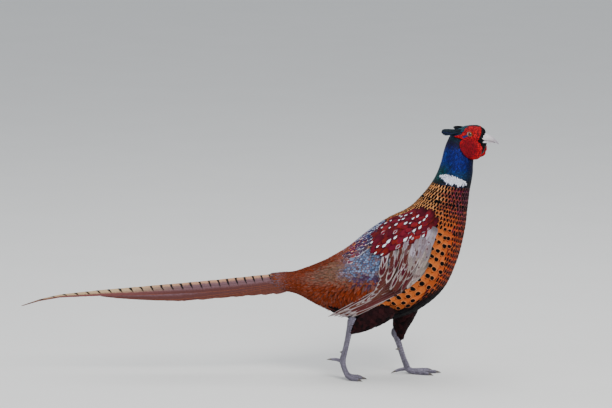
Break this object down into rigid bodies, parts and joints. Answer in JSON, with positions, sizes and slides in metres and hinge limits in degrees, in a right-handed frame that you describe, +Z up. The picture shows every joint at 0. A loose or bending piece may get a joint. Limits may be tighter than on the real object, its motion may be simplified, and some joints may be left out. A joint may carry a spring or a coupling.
{
  "type": "common pheasant cock, life-size standing model",
  "caption": "Life-size model of a walking cock common pheasant with folded wings, ear tufts, face wattles and a long graduated tail.",
  "frame": {"origin": "on the floor, under the middle of the bird's box", "axes": "+X from the tail towards the bill, +Y to the bird's left, +Z up"},
  "size_m": [0.8211, 0.1364, 0.4379],
  "materials": {
    "crown": "glossy dark green-black head feathers",
    "neck": "iridescent blue-green neck feathers",
    "collar": "matt white feathers",
    "breast": "coppery feathers with dark edges and black spots",
    "rump": "rufous and blue-grey loose feathers",
    "wing": "grey-buff feathers streaked with maroon",
    "tail": "buff and mauve-brown feathers with dark bars",
    "thigh": "soft brown-black feathers",
    "leg": "grey scaled skin",
    "claw": "dark horn",
    "face": "bare red granular skin",
    "bill": "pale horn",
    "eye": "glossy orange-brown iris and black pupil"
  },
  "bodies": {
    "root": {"head": "crown", "neck": "neck", "collar": "collar", "torso": "breast", "rump": "rump", "tail": "tail", "bill_upper": "bill", "bill_lower": "bill", "eye_left": "eye", "eye_right": "eye", "face_left": "face", "face_right": "face", "ear_tuft_left": "crown", "ear_tuft_right": "crown", "wing_left": "wing", "wing_right": "wing", "thigh_left": "thigh", "thigh_right": "thigh", "shank_left": "leg", "shank_right": "leg", "foot_left": "leg", "foot_right": "leg", "spur_left": "claw", "spur_right": "claw", "claw_left_middle": "claw", "claw_left_inner": "claw", "claw_left_outer": "claw", "claw_left_hind": "claw", "claw_right_middle": "claw", "claw_right_inner": "claw", "claw_right_outer": "claw", "claw_right_hind": "claw"}
  },
  "joints": []
}
